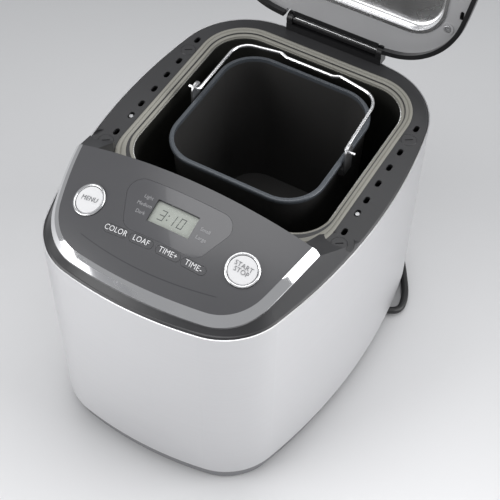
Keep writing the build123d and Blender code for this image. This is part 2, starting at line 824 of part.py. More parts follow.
def pulley(centre, radius, shaft_radius, label):
    """A flanged belt pulley round a vertical shaft."""
    with BuildPart() as wheel:
        with BuildSketch(Plane.XY.offset(belt_z - 5)):
            with Locations(centre):
                Circle(radius)
        extrude(amount=10)
        for z in (belt_z - 5, belt_z + 3.5):
            with BuildSketch(Plane.XY.offset(z)):
                with Locations(centre):
                    Circle(radius + 2.8)
            extrude(amount=1.5)
        with BuildSketch(Plane.XY.offset(belt_z - 6)):
            with Locations(centre):
                Circle(shaft_radius)
                if radius > 30:
                    with PolarLocations(radius * 0.58, 6):
                        Circle(radius * 0.2)
        extrude(amount=12, mode=Mode.SUBTRACT)
    save(wheel, label)


pulley(drive_centre, big_pulley_radius, 4.0, "drive_pulley")
pulley((motor_x, motor_y), small_pulley_radius, 3.0, "motor_pulley")


def belt_loop(grow):
    """Outline round both pulleys, `grow` outside them."""
    with BuildSketch() as face:
        with Locations(drive_centre):
            Circle(big_pulley_radius + grow)
        with Locations((motor_x, motor_y)):
            Circle(small_pulley_radius + grow)
        make_hull()
    return face.sketch


with BuildPart() as drive_belt:
    with BuildSketch(Plane.XY.offset(belt_z - 2.5)):
        add(belt_loop(gap + 1.6))
        add(belt_loop(gap), mode=Mode.SUBTRACT)
    extrude(amount=5)
save(drive_belt, "drive_belt")

motor_place = (motor_x, motor_y)
with BuildPart() as motor_brackets:
    # plate on the base's posts with pillars under the stator
    with BuildSketch(Plane.XY.offset(43.5)):
        with Locations(motor_place):
            RectangleRounded(88, 68, 5)
    extrude(amount=2.5)
    with BuildSketch(Plane.XY.offset(40.5)):
        with Locations(motor_place):
            Circle(8)
    extrude(amount=8)
    with BuildSketch(Plane.XY.offset(45)):
        with Locations(motor_place):
            with GridLocations(48, 48, 2, 2):
                Circle(4)
    extrude(amount=9)
    # cap over the stator
    with BuildSketch(Plane.XY.offset(85)):
        with Locations(motor_place):
            RectangleRounded(60, 60, 8)
    extrude(amount=2.5)
    with BuildSketch(Plane.XY.offset(82)):
        with Locations(motor_place):
            Circle(8)
    extrude(amount=8)
    with BuildSketch(Plane.XY.offset(80)):
        with Locations(motor_place):
            with GridLocations(50, 50, 2, 2):
                Circle(3)
    extrude(amount=5.5)
    # bearings for the rotor
    with BuildSketch(Plane.XY.offset(40)):
        with Locations(motor_place):
            Circle(3 + running)
    extrude(amount=52, mode=Mode.SUBTRACT)
save(motor_brackets, "motor_brackets")

with BuildPart() as motor_stator:
    with BuildSketch(Plane.XY.offset(54)):
        with Locations(motor_place):
            RectangleRounded(60, 60, 5)
            Circle(17, mode=Mode.SUBTRACT)
    extrude(amount=26)
    # ends of the windings
    for z in (50.4, 80):
        with BuildSketch(Plane.XY.offset(z)):
            with Locations(motor_place):
                Circle(22)
                Circle(18.5, mode=Mode.SUBTRACT)
        extrude(amount=3.6)
save(motor_stator, "motor_stator")

with BuildPart() as motor_rotor:
    with Locations((*motor_place, 24)):
        Cylinder(3, 68, align=(Align.CENTER, Align.CENTER, Align.MIN))
    with Locations((*motor_place, 55)):
        Cylinder(17 - gap, 24, align=(Align.CENTER, Align.CENTER, Align.MIN))
save(motor_rotor, "motor_rotor")

with BuildPart() as ribbon_cable:
    with BuildSketch(Plane.YZ.offset(10)):
        with BuildLine():
            FilletPolyline((-118, power_board_z + 1.7), (-118, 222), (-131, 246), radius=8)
        trace(line_width=1.2)
    extrude(amount=20)
save(ribbon_cable, "ribbon_cable")

# ================================================================ hinge
hinge_half = 48.0
barrel_radius = 4.6
pin_radius = 1.75
hinge_axis = (hinge_y, hinge_z)

with BuildPart() as hinge_block:
    with BuildSketch(Plane.XY.offset(deck_z)):
        with Locations((0, 126.5)):
            Rectangle(2 * hinge_half, 10.5, align=(Align.CENTER, Align.MIN))
    extrude(amount=7)
    for start in (-hinge_half, hinge_half - 5.5):
        with BuildSketch(Plane.YZ.offset(start)):
            with Locations(hinge_axis):
                Circle(5.5)
            with Locations((hinge_y, deck_z + 1)):
                Rectangle(10, hinge_z - deck_z - 1, align=(Align.CENTER, Align.MIN))
        extrude(amount=5.5)
    with BuildSketch(Plane.YZ.offset(-60)):
        with Locations(hinge_axis):
            Circle(pin_radius + running)
    extrude(amount=120, mode=Mode.SUBTRACT)
save(hinge_block, "hinge_block")

with BuildPart() as hinge_pin:
    with BuildSketch(Plane.YZ.offset(0.5 - hinge_half)):
        with Locations(hinge_axis):
            Circle(pin_radius)
    extrude(amount=2 * hinge_half - 1)
save(hinge_pin, "hinge_pin")


def save_open(builder, label):
    """Swings a lid piece, drawn closed, up to the open pose and saves it."""
    with BuildPart() as swung:
        add(builder.part.rotate(Axis((0, hinge_y, hinge_z), (1, 0, 0)), -open_angle))
    save(swung, label)


# ================================================================ lid, drawn closed
lid_inset = 2.7
lid_front_y = -110.4
rim_bottom, rim_top = deck_z + 1.5, deck_z + 7.0
panel_top = deck_z + 8.2
dish_size, dish_radius, dish_y = (193.6, 185.1), 30.0, 4.75
dish_top = deck_z + 15.7
window_size, window_radius, window_y = (110.0, 70.0), 17.0, -5.0
cover_wall = 2.2
lid_screw_places = ((-102, 83), (102, 83), (-60, -98), (60, -98))


def box_between(x0, x1, y0, y1, z0, z1):
    """A plain block between two corners."""
    with BuildPart() as block:
        with Locations(((x0 + x1) / 2, (y0 + y1) / 2, (z0 + z1) / 2)):
            Box(x1 - x0, y1 - y0, z1 - z0)
    return block.part


def ramp_room():
    """Room over the bezel's two side ramps, cut out of every lid piece."""
    with BuildPart() as room:
        for x in (97.3, -147.3):
            with BuildSketch(Plane.YZ.offset(x)):
                with BuildLine():
                    Polyline((-56, deck_z + 1), (-107, deck_z + 24.7), (-107, deck_z + 31),
                             (-114, deck_z + 31), (-114, deck_z - 6), (-56, deck_z - 6), close=True)
                make_face()
            extrude(amount=50)
    return room.part


with BuildPart() as lid_rim:
    with BuildSketch(Plane.XY.offset(rim_bottom)):
        add(behind(lid_inset, lid_front_y))
        add(behind(lid_inset + 4.2, lid_front_y + 4.2), mode=Mode.SUBTRACT)
    extrude(amount=rim_top - rim_bottom)
    add(ramp_room(), mode=Mode.SUBTRACT)
    add(box_between(-49.3, 49.3, 121.5, 140, deck_z, deck_z + 40), mode=Mode.SUBTRACT)
save_open(lid_rim, "lid_rim")

with BuildPart() as lid_panel:
    with BuildSketch(Plane.XY.offset(rim_top)):
        add(behind(lid_inset + 2.8, lid_front_y + 2.8))
        add(rounded(*dish_size, dish_radius, dish_y), mode=Mode.SUBTRACT)
        with Locations((-111.7, 66.4), (111.7, 66.4)):
            SlotOverall(8, 3.5, rotation=90, mode=Mode.SUBTRACT)
    extrude(amount=panel_top - rim_top)
    with BuildSketch(Plane.XY.offset(rim_top - 0.7)):
        with Locations(*lid_screw_places):
            Circle(5.6)
            Circle(3.5, mode=Mode.SUBTRACT)
    extrude(amount=0.7)
    add(ramp_room(), mode=Mode.SUBTRACT)
    add(box_between(-49.3, 49.3, 122, 140, deck_z, deck_z + 40), mode=Mode.SUBTRACT)
save_open(lid_panel, "lid_panel")

with BuildPart() as lid_dish:
    with BuildSketch(Plane.XY.offset(rim_top)):
        add(rounded(*dish_size, dish_radius, dish_y))
    extrude(amount=dish_top - rim_top)
    fillet(lid_dish.edges().group_by(Axis.Z)[-1], 6)
    # bead that overlaps the panel's edge
    with BuildSketch(Plane.XY.offset(rim_top - 0.8)):
        add(rounded(dish_size[0] + 4, dish_size[1] + 4, dish_radius + 2, dish_y))
    extrude(amount=0.8)
    with BuildPart(mode=Mode.PRIVATE) as hollow:
        with BuildSketch(Plane.XY.offset(rim_top - 3)):
            add(rounded(dish_size[0] - 2.4, dish_size[1] - 2.4, dish_radius - 1.2, dish_y))
        extrude(amount=dish_top - rim_top + 1.8)
        fillet(hollow.edges().group_by(Axis.Z)[-1], 4.8)
    add(hollow.part, mode=Mode.SUBTRACT)
    with BuildSketch(Plane.XY.offset(rim_top)):
        with Locations((0, window_y)):
            RectangleRounded(*window_size, window_radius)
    extrude(amount=20, mode=Mode.SUBTRACT)
    add(ramp_room(), mode=Mode.SUBTRACT)
save_open(lid_dish, "lid_dish")

with BuildPart() as lid_screws:
    with BuildSketch(Plane.XY.offset(rim_top - 1.3)):
        with Locations(*lid_screw_places):
            Circle(3.3)
    extrude(amount=1.3)
    fillet(lid_screws.edges().group_by(Axis.Z)[0], 0.5)
    with BuildSketch(Plane.XY.offset(rim_top - 1.5)):
        with Locations(*lid_screw_places):
            Rectangle(4.2, 0.9)
            Rectangle(0.9, 4.2)
    extrude(amount=1.1, mode=Mode.SUBTRACT)
save_open(lid_screws, "lid_screws")

with BuildPart() as window_frame:
    with BuildSketch(Plane.XY.offset(dish_top + 2)):
        with Locations((0, window_y)):
            RectangleRounded(window_size[0] + 8, window_size[1] + 8, window_radius + 4)
            RectangleRounded(*window_size, window_radius, mode=Mode.SUBTRACT)
    extrude(amount=40)
    add(barrel(lid_roll - cover_wall, lid_crest_y, lid_crest_z - cover_wall - 0.1), mode=Mode.INTERSECT)
save_open(window_frame, "lid_window_frame")

with BuildPart() as window_panes:
    # outer pane under the cover, then the inner pane on the dish
    with BuildSketch(Plane.XY.offset(deck_z + 30)):
        with Locations((0, window_y)):
            RectangleRounded(window_size[0] - 0.4, window_size[1] - 0.4, window_radius - 0.2)
    extrude(amount=30)
    add(barrel(lid_roll - cover_wall, lid_crest_y, lid_crest_z - cover_wall - 0.1), mode=Mode.INTERSECT)
    add(barrel(lid_roll - 4.4, lid_crest_y, lid_crest_z - 4.4), mode=Mode.SUBTRACT)
    with BuildSketch(Plane.XY.offset(dish_top)):
        with Locations((0, window_y)):
            RectangleRounded(window_size[0] + 8, window_size[1] + 8, window_radius + 4)
    extrude(amount=2)
save_open(window_panes, "lid_window_panes")

cover_lean = tan(radians(17))
cover_height = 48.0


def cover_block(inset, front_y_limit, depth):
    """Leaning-sided block under the lid's crown, straight across the front."""
    with BuildPart() as block:
        with BuildSketch(Plane.XY.offset(rim_top)):
            add(body_outline(lid_inset + inset))
        with BuildSketch(Plane.XY.offset(rim_top + cover_height)):
            add(body_outline(lid_inset + inset + cover_height * cover_lean))
        loft()
        add(barrel(lid_roll - depth, lid_crest_y, lid_crest_z - depth), mode=Mode.INTERSECT)
        add(box_between(-200, 200, -300, front_y_limit, 0, 400), mode=Mode.SUBTRACT)
    return block.part


with BuildPart() as lid_cover:
    add(cover_block(0, lid_front_y, 0))
    crown_face = lid_cover.faces().sort_by(Axis.Z)[-1]
    fillet(crown_face.edges(), 3)
    add(cover_block(cover_wall, lid_front_y + cover_wall, cover_wall), mode=Mode.SUBTRACT)
    with BuildSketch(Plane.XY.offset(deck_z + 30)):
        with Locations((0, window_y)):
            RectangleRounded(window_size[0] - 6, window_size[1] - 6, window_radius - 3)
    extrude(amount=40, mode=Mode.SUBTRACT)
    add(ramp_room(), mode=Mode.SUBTRACT)
    add(box_between(-49.3, 49.3, 121.5, 140, deck_z, deck_z + 40), mode=Mode.SUBTRACT)
save_open(lid_cover, "lid_cover")

with BuildPart() as hinge_bar:
    with BuildSketch(Plane.YZ.offset(-41.9)):
        with BuildLine():
            Polyline((112, deck_z + 8.4), (hinge_y, deck_z + 8.4), (hinge_y, deck_z + 13.4),
                     (112, deck_z + 13.4), close=True)
        make_face()
        with Locations(hinge_axis):
            Circle(barrel_radius)
            Circle(pin_radius + running, mode=Mode.SUBTRACT)
        # slit along the barrel through which the pin shows when the lid is up
        with Locations(Location((hinge_y, hinge_z), atan2(-0.77, -0.63) * 180 / pi)):
            Rectangle(8, 2.4, align=(Align.MIN, Align.CENTER), mode=Mode.SUBTRACT)
    extrude(amount=83.8)
save_open(hinge_bar, "lid_hinge_bar")

# ================================================================ power cord
cord_radius = cord_diameter / 2
relief_z = 8.3
relief_end = 112.0
cord_route = [
    (relief_end, cord_exit_y, relief_z), (129, 41, 4.5), (127.5, 63, 3.6), (112.4, 89, 3.6),
    (96, 113.5, 3.6), (67, 137, 3.6), (33, 143, 3.6), (0, 144.5, 4.2),
]
coil_centre = (0.0, 183.0)
coil_radius = 38.5
coil_size = (14.5, 13.5)
coil_bottom = 1.0
tail_angle = radians(231)
tail_start = Vector(
    coil_centre[0] + coil_radius * cos(tail_angle), coil_centre[1] + coil_radius * sin(tail_angle), 5
)
tail_way = Vector(sin(tail_angle), -cos(tail_angle), 0)
plug_way = Vector(-0.5, 0.866, 0).normalized()
tail_turn = tail_start + tail_way * 36
tail_end = tail_turn + plug_way * 26 + Vector(0, 0, 3)


def cord_radii(points):
    """Bend radius at each inner point, from the shorter run beside it."""
    radii = []
    for before, here, after in zip(points, points[1:], points[2:]):
        run_in, run_out = Vector(*here) - Vector(*before), Vector(*after) - Vector(*here)
        half_turn = radians(run_in.get_angle(run_out)) / 2
        radii.append(round(0.45 * min(run_in.length, run_out.length) / tan(half_turn), 2))
    return radii


def cord_tube(points, label):
    """A cord of straight runs joined by tangent arcs."""
    radii = cord_radii(points)
    print(label, "bend radii", radii)
    with BuildPart() as tube:
        with BuildLine():
            path = FilletPolyline(*points, radius=radii)
        with BuildSketch(path ^ 0):
            Circle(cord_radius)
        sweep(path=path)
    print(label, "length", round(path.length, 1), "volume", round(tube.part.volume, 1),
          "section times length", round(pi * cord_radius**2 * path.length, 1))
    save(tube, label)


cord_tube(cord_route, "power_cord")
cord_tube([tuple(tail_start), tuple(tail_turn), tuple(tail_end)], "power_cord_tail")

with BuildPart() as strain_relief:
    with BuildSketch(Plane.YZ.offset(89)):
        with Locations((cord_exit_y, relief_z)):
            Circle(5.5)
    with BuildSketch(Plane.YZ.offset(relief_end)):
        with Locations((cord_exit_y, relief_z)):
            Circle(4.5)
    loft()
save(strain_relief, "strain_relief")

with BuildPart() as cord_coil:
    with BuildSketch(Plane.XZ.offset(-coil_centre[1])):
        with Locations((coil_radius, coil_bottom + coil_size[1] / 2)):
            RectangleRounded(*coil_size, 3.4)
    revolve(axis=Axis((*coil_centre, 0), (0, 0, 1)))
save(cord_coil, "power_cord_coil")

with BuildPart() as cord_tie:
    with BuildSketch(Plane.YZ.offset(-4)):
        with Locations((coil_centre[1] + coil_radius, coil_bottom + coil_size[1] / 2)):
            RectangleRounded(coil_size[0] + 2.2, coil_size[1] + 1.6, 3.8)
            RectangleRounded(coil_size[0] + 0.8, coil_size[1] + 0.2, 3.4, mode=Mode.SUBTRACT)
    extrude(amount=8)
save(cord_tie, "cord_tie")

plug_plane = Plane(origin=tail_end, x_dir=(0, 0, 1), z_dir=plug_way)
with BuildPart() as plug:
    with BuildSketch(plug_plane):
        Circle(4.4)
    with BuildSketch(plug_plane.offset(10)):
        RectangleRounded(13, 20, 5)
    loft()
    with BuildSketch(plug_plane.offset(10)):
        RectangleRounded(15, 25, 5)
    extrude(amount=26)
    fillet(plug.faces().sort_by(lambda face: -(face.center() - tail_end).length)[0].edges(), 2)
save(plug, "plug")

with BuildPart() as plug_pins:
    with BuildSketch(plug_plane.offset(36)):
        with Locations((0, -6.35), (0, 6.35)):
            Rectangle(6.3, 1.5)
    extrude(amount=16)
save(plug_pins, "plug_pins")
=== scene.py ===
from math import cos, pi, radians, sin

import bpy
import numpy as np
from mathutils import Matrix, Vector


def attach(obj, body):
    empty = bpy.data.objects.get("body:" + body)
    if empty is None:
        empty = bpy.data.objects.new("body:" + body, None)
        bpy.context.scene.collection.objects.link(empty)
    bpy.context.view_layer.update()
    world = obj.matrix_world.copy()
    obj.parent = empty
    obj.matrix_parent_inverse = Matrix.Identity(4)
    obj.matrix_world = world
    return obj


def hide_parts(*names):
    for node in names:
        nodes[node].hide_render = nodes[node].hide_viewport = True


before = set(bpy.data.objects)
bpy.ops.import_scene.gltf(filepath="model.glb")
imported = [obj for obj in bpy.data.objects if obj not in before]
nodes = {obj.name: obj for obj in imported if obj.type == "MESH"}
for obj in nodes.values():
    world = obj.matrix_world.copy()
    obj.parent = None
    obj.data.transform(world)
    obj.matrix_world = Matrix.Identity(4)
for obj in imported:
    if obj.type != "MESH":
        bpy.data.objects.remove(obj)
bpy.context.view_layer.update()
mm = 0.001


def addObject(name, data):
    obj = bpy.data.objects.new(name, data)
    bpy.context.scene.collection.objects.link(obj)
    return obj


cameraSetup = {
    "place": (0.3988, -0.7248, 1.0898),
    "right": (0.8656, 0.5007, 0.0075),
    "up": (-0.3937, 0.6712, 0.6281),
    "back": (0.3094, -0.5466, 0.7781),
    "lens": 100.69,  # millimetres, on a 36 mm sensor
}


def makeCamera():
    data = bpy.data.cameras.new("camera")
    data.sensor_width = 36
    data.lens = cameraSetup["lens"]
    data.clip_start = 0.01
    data.clip_end = 60
    camera = addObject("camera", data)
    turn = Matrix([cameraSetup[axis] for axis in ("right", "up", "back")]).transposed()
    camera.matrix_world = Matrix.Translation(cameraSetup["place"]) @ turn.to_4x4()
    bpy.context.scene.camera = camera


makeCamera()
print("camera set")


# a shader socket that takes part in arithmetic: each operation adds a Math node
class Link:
    def __init__(self, tree, socket):
        self.tree = tree
        self.socket = socket

    def math(self, operation, *values):
        node = self.tree.nodes.new("ShaderNodeMath")
        node.operation = operation
        for socket, value in zip(node.inputs, values):
            if isinstance(value, Link):
                self.tree.links.new(value.socket, socket)
            else:
                socket.default_value = value
        return Link(self.tree, node.outputs[0])

    def __add__(self, other):
        return self.math("ADD", self, other)

    def __radd__(self, other):
        return self.math("ADD", other, self)

    def __sub__(self, other):
        return self.math("SUBTRACT", self, other)

    def __rsub__(self, other):
        return self.math("SUBTRACT", other, self)

    def __mul__(self, other):
        return self.math("MULTIPLY", self, other)

    def __rmul__(self, other):
        return self.math("MULTIPLY", other, self)

    def __abs__(self):
        return self.math("ABSOLUTE", self)


# one procedural material: constants on its shader's sockets, and links for what varies
class Finish:
    def __init__(self, name, colour, roughness=0.4, metallic=0.0, **constants):
        self.material = bpy.data.materials.new(name)
        self.material.use_nodes = True
        self.tree = self.material.node_tree
        self.shader = self.tree.nodes["Principled BSDF"]
        self.colour = colour
        self.put(self.shader, "Base Color", (*colour, 1))
        self.put(self.shader, "Roughness", roughness)
        self.put(self.shader, "Metallic", metallic)
        for socket, value in constants.items():
            self.put(self.shader, socket.replace("_", " "), value)
        self.place = self.node("TexCoord", {}, {}, "Object")
        self.x, self.y, self.z = (
            self.node("SeparateXYZ", {}, {0: self.place}, axis) for axis in range(3)
        )

    def put(self, node, socket, value):
        if isinstance(value, Link):
            self.tree.links.new(value.socket, node.inputs[socket])
        else:
            node.inputs[socket].default_value = value

    # any node: its type, its settings, then the values or links of its sockets
    def node(self, kind, settings, values, output=0):
        node = self.tree.nodes.new("ShaderNode" + kind)
        for setting, value in settings.items():
            setattr(node, setting, value)
        for socket, value in values.items():
            self.put(node, socket, value)
        return Link(self.tree, node.outputs[output])

    def vary(self, socket, value):
        self.put(self.shader, socket, value)

    # noise about 0.5, its coordinates stretched by scale along each axis
    def noise(self, scale, detail=2.0, rough=0.5):
        scale = scale if isinstance(scale, tuple) else (scale, scale, scale)
        stretched = self.node("Mapping", {}, {"Vector": self.place, "Scale": scale})
        values = {"Vector": stretched, "Scale": 1, "Detail": detail, "Roughness": rough}
        return self.node("TexNoise", {}, values)

    # 1 where the field is under edge, falling smoothly to 0 over width past it
    def under(self, field, edge, width):
        values = {"Value": field, "From Min": edge, "From Max": edge + width, "To Min": 1, "To Max": 0}
        return self.node("MapRange", {"interpolation_type": "SMOOTHSTEP"}, values)

    # colour from low to high as a field goes from 0 to 1: the Mix node's colour sockets are 6, 7 and 2
    def mix(self, field, low, high):
        low, high = (c if isinstance(c, Link) else (*c, 1) for c in (low, high))
        return self.node("Mix", {"data_type": "RGBA"}, {0: field, 6: low, 7: high}, 2)

    def shade(self, field, amount):
        low = tuple(c * (1 - amount) for c in self.colour)
        high = tuple(min(1, c * (1 + amount)) for c in self.colour)
        return self.mix(field, low, high)

    def bump(self, height, distance, strength):
        values = {"Height": height, "Distance": distance, "Strength": strength}
        self.vary("Normal", self.node("Bump", {}, values))


# moulded plastic: fine spark-eroded grain, faint clouding
def plastic(name, colour, roughness, grain=0.00004, scale=1400, **constants):
    finish = Finish(name, colour, roughness, **constants)
    cloud = finish.noise(14, 3)
    finish.vary("Base Color", finish.shade(cloud, 0.10))
    finish.vary("Roughness", cloud * 0.10 + (roughness - 0.05))
    finish.bump(finish.noise(scale, 1), grain, 0.5)
    return finish


# sheet metal with its brushing running one way
def brushed(name, colour, roughness, scale, depth=0.00002, **constants):
    finish = Finish(name, colour, roughness, 1.0, **constants)
    lines = finish.noise(scale, 3, 0.6)
    wide = finish.noise(tuple(s * 0.16 for s in scale), 2)
    cloud = finish.noise(5, 2)
    finish.vary("Base Color", finish.shade(lines * 0.6 + cloud * 0.4, 0.07))
    finish.vary("Roughness", wide * 0.14 + lines * 0.08 + (roughness - 0.11))
    finish.bump(lines, depth, 0.6)
    return finish


# plated or turned metal: clean, with faint handling marks
def polished(name, colour, roughness, marks=0.05, **constants):
    finish = Finish(name, colour, roughness, 1.0, **constants)
    smudge = finish.noise(38, 3)
    finish.vary("Base Color", finish.shade(smudge, 0.04))
    finish.vary("Roughness", smudge * marks + max(0.01, roughness - marks / 2))
    return finish


# dark fired coat with fine speckle
def coating(name, colour, roughness, metallic=0.0, **constants):
    finish = Finish(name, colour, roughness, metallic, **constants)
    speck = finish.noise(1100, 2, 0.7)
    cloud = finish.noise(11, 3)
    finish.vary("Base Color", finish.shade(speck * 0.55 + cloud * 0.45, 0.30))
    finish.vary("Roughness", speck * 0.12 + cloud * 0.10 + (roughness - 0.11))
    finish.bump(speck, 0.00005, 0.45)
    return finish


# dark coat, bare bright metal on the turned-out top edge
def makeOvenCoat(bareFrom=0.2181):
    finish = coating("ovenCoat", (0.030, 0.030, 0.027), 0.34, 0.1)
    bare = finish.under(finish.z * -1, -bareFrom, 0.0003)
    dark = finish.shade(finish.noise(1100, 2, 0.7), 0.25)
    finish.vary("Base Color", finish.mix(bare, dark, (0.92, 0.92, 0.90)))
    finish.vary("Metallic", bare * 0.9 + 0.1)
    finish.vary("Roughness", bare * -0.12 + 0.34)
    return finish


# the rolled rim is smoother, and painted lighter and a little bluer than the walls: a painted sheen
def makePanCoat(rimFrom=0.2193):
    finish = coating("panCoat", (0.050, 0.049, 0.048), 0.36, 0.15)
    rim = finish.under(finish.z * -1, -rimFrom, 0.0016)
    walls = finish.shade(finish.noise(1100, 2, 0.7) * 0.5 + finish.noise(11, 3) * 0.5, 0.30)
    # painted sheen: the rim's colour is lighter and bluer than the walls
    finish.vary("Base Color", finish.mix(rim, walls, (0.085, 0.095, 0.108)))
    finish.vary("Roughness", rim * -0.10 + (finish.noise(60, 3) * 0.12 + 0.30))
    return finish


# satin grey, with painted shade along one fine moulded line curving across the front of the panel
def makePanelGrey(lineY=-0.1892, lineCurve=2.1, lineReach=0.060):
    finish = plastic("panelPaint", (0.082, 0.082, 0.087), 0.33, 0.00002, 2200)
    away = abs(finish.y - lineY - finish.x * finish.x * lineCurve)
    ends = finish.under(abs(finish.x), lineReach, 0.004)
    paintedCreaseShade = finish.under(away, 0.00015, 0.0004) * ends
    clouded = finish.shade(finish.noise(14, 3), 0.06)
    # painted shade: the moulded line is coloured darker than the panel round it
    finish.vary("Base Color", finish.mix(paintedCreaseShade, clouded, (0.045, 0.045, 0.05)))
    return finish


# clear over the display, panel grey round it
def makeWindowGrey(centre=(0.002, -0.1453), halfSize=(0.0188, 0.0093)):
    finish = plastic("windowPaint", (0.090, 0.090, 0.096), 0.22, 0.00001, 2200, Coat_Weight=0.3)
    across = finish.under(abs(finish.x - centre[0]), halfSize[0], 0.0001)
    along = finish.under(abs(finish.y - centre[1]), halfSize[1], 0.0001)
    finish.vary("Alpha", across * along * -0.92 + 1)
    return finish


# reflective grey-green display with a faint cell grid
def makeDisplayGrey():
    finish = plastic("displayPaint", (0.50, 0.53, 0.48), 0.35, 0.00001, 2200)
    cells = finish.noise(900, 1) * 0.5 + finish.noise(60, 2) * 0.5
    finish.vary("Base Color", finish.shade(cells, 0.08))
    return finish


def makePaneGlass():
    finish = Finish("paneGlass", (0.62, 0.66, 0.66), 0.06, Alpha=0.34, Coat_Weight=0.6)
    finish.vary("Roughness", finish.noise(30, 2) * 0.05 + 0.03)
    return finish


wrapSteel = brushed("wrapSteel", (0.72, 0.72, 0.73), 0.34, (5, 5, 2400), Anisotropic=0.7,
                    Anisotropic_Rotation=0.25)
coverSteel = brushed("coverSteel", (0.66, 0.66, 0.67), 0.36, (2400, 5, 5))
housingBlack = plastic("housingBlack", (0.034, 0.034, 0.036), 0.36)
rimBlack = plastic("rimBlack", (0.012, 0.012, 0.013), 0.30)
plinthGrey = plastic("plinthGrey", (0.235, 0.235, 0.245), 0.42, Metallic=0.25)
rubberBlack = plastic("rubberBlack", (0.018, 0.018, 0.019), 0.62, 0.00008, 900)
cordBlack = plastic("cordBlack", (0.014, 0.014, 0.015), 0.46, 0.00006, 700)
buttonSilver = plastic("buttonSilver", (0.78, 0.78, 0.79), 0.34, 0.00003)
ringSilver = polished("ringSilver", (0.90, 0.90, 0.91), 0.22)
trimChrome = polished("trimChrome", (0.93, 0.93, 0.94), 0.045, 0.03)
bailChrome = polished("bailChrome", (0.90, 0.90, 0.91), 0.14)
pinSteel = polished("pinSteel", (0.80, 0.80, 0.81), 0.20)
panelSilver = plastic("panelSilver", (0.50, 0.50, 0.51), 0.36, 0.00003, 2600, Metallic=0.35)
dishBright = polished("dishBright", (0.90, 0.90, 0.91), 0.26, 0.10)
zincPlate = brushed("zincPlate", (0.56, 0.56, 0.57), 0.38, (400, 400, 400))
shaftSteel = polished("shaftSteel", (0.60, 0.60, 0.62), 0.24, 0.12)
castMetal = coating("castMetal", (0.40, 0.40, 0.41), 0.48, 0.85)
motorIron = coating("motorIron", (0.055, 0.055, 0.06), 0.5, 0.3)
elementSheath = coating("elementSheath", (0.075, 0.068, 0.062), 0.5, 0.5)
ceramicWhite = plastic("ceramicWhite", (0.74, 0.72, 0.66), 0.3)
boardGreen = plastic("boardGreen", (0.02, 0.10, 0.045), 0.4)
partBlack = plastic("partBlack", (0.03, 0.03, 0.035), 0.4)
ribbonGrey = plastic("ribbonGrey", (0.32, 0.32, 0.34), 0.5)
pinBrass = polished("pinBrass", (0.74, 0.56, 0.26), 0.22)
gasketTaupe = plastic("gasketPaint", (0.275, 0.268, 0.236), 0.42, 0.00004, 1200)
ovenCoat = makeOvenCoat()
panCoat = makePanCoat()
panelGrey = makePanelGrey()
windowGrey = makeWindowGrey()
displayGrey = makeDisplayGrey()
paneGlass = makePaneGlass()

finishes = {
    wrapSteel: ("steel_wrap",),
    coverSteel: ("lid_cover",),
    housingBlack: ("top_housing", "rear_vent_panel", "deck_plugs"),
    rimBlack: ("lid_rim", "lid_hinge_bar", "hinge_block", "lid_window_frame"),
    plinthGrey: ("base_tray",),
    rubberBlack: ("feet", "drive_belt", "strain_relief", "cord_tie"),
    cordBlack: ("power_cord", "power_cord_coil", "power_cord_tail", "plug"),
    panelGrey: ("control_fascia", "color_key", "loaf_key", "time_up_key", "time_down_key"),
    trimChrome: ("chrome_trim",),
    ringSilver: ("button_rings",),
    bailChrome: ("bail_handle",),
    pinSteel: ("hinge_pin",),
    windowGrey: ("display_window",),
    paneGlass: ("lid_window_panes",),
    displayGrey: ("lcd_module",),
    buttonSilver: ("menu_button", "start_button"),
    boardGreen: ("circuit_boards",),
    partBlack: ("board_parts",),
    ovenCoat: ("oven_liner", "pan_seat"),
    gasketTaupe: ("oven_gasket",),
    elementSheath: ("heating_element",),
    ceramicWhite: ("element_mounts",),
    zincPlate: ("oven_sensors", "motor_brackets", "deck_screws", "lid_screws", "bail_brackets"),
    panCoat: ("bread_pan", "kneading_paddle"),
    shaftSteel: ("drive_shaft", "pan_shaft", "motor_rotor", "pan_bushing", "drive_bearing"),
    castMetal: ("drive_coupling", "pan_coupling", "drive_pulley", "motor_pulley"),
    motorIron: ("motor_stator",),
    ribbonGrey: ("ribbon_cable",),
    panelSilver: ("lid_panel",),
    dishBright: ("lid_dish",),
    pinBrass: ("plug_pins",),
}
for finish, names in finishes.items():
    for name in names:
        nodes[name].data.materials.clear()
        nodes[name].data.materials.append(finish.material)
print("materials on", sum(len(names) for names in finishes.values()), "of", len(nodes), "nodes")


def addPiece(name, points, faces, finish, body, smooth=True):
    mesh = bpy.data.meshes.new(name)
    mesh.from_pydata(np.asarray(points).tolist(), [], [list(face) for face in faces])
    mesh.polygons.foreach_set("use_smooth", [smooth] * len(mesh.polygons))
    mesh.materials.append(finish.material)
    piece = addObject(name, mesh)
    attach(piece, body)
    return piece


# metres: the route's points as in part.py, the coil's turns, then the tail to the plug
cordSetup = {
    "width": 0.007,
    "length": 0.955,
    "route": [
        (0.112, 0.036, 0.0083), (0.129, 0.041, 0.0045), (0.1275, 0.063, 0.0036),
        (0.1124, 0.089, 0.0036), (0.096, 0.1135, 0.0036), (0.067, 0.137, 0.0036),
        (0.033, 0.143, 0.0036),
    ],
    "coilCentre": (0, 0.183),
    "turns": 3,
    "perTurn": 14,
    # from this turn on: radius, height
    "layers": [(1.9, 0.0385, 0.0108), (0.9, 0.0421, 0.0046), (0.0, 0.0349, 0.0046)],
    "tail": [
        (-0.0300, 0.1590, 0.0100), (-0.0415, 0.1672, 0.0080), (-0.0522, 0.1757, 0.0065),
        (-0.0610, 0.1900, 0.0072), (-0.0652, 0.1982, 0.0080),
    ],
}


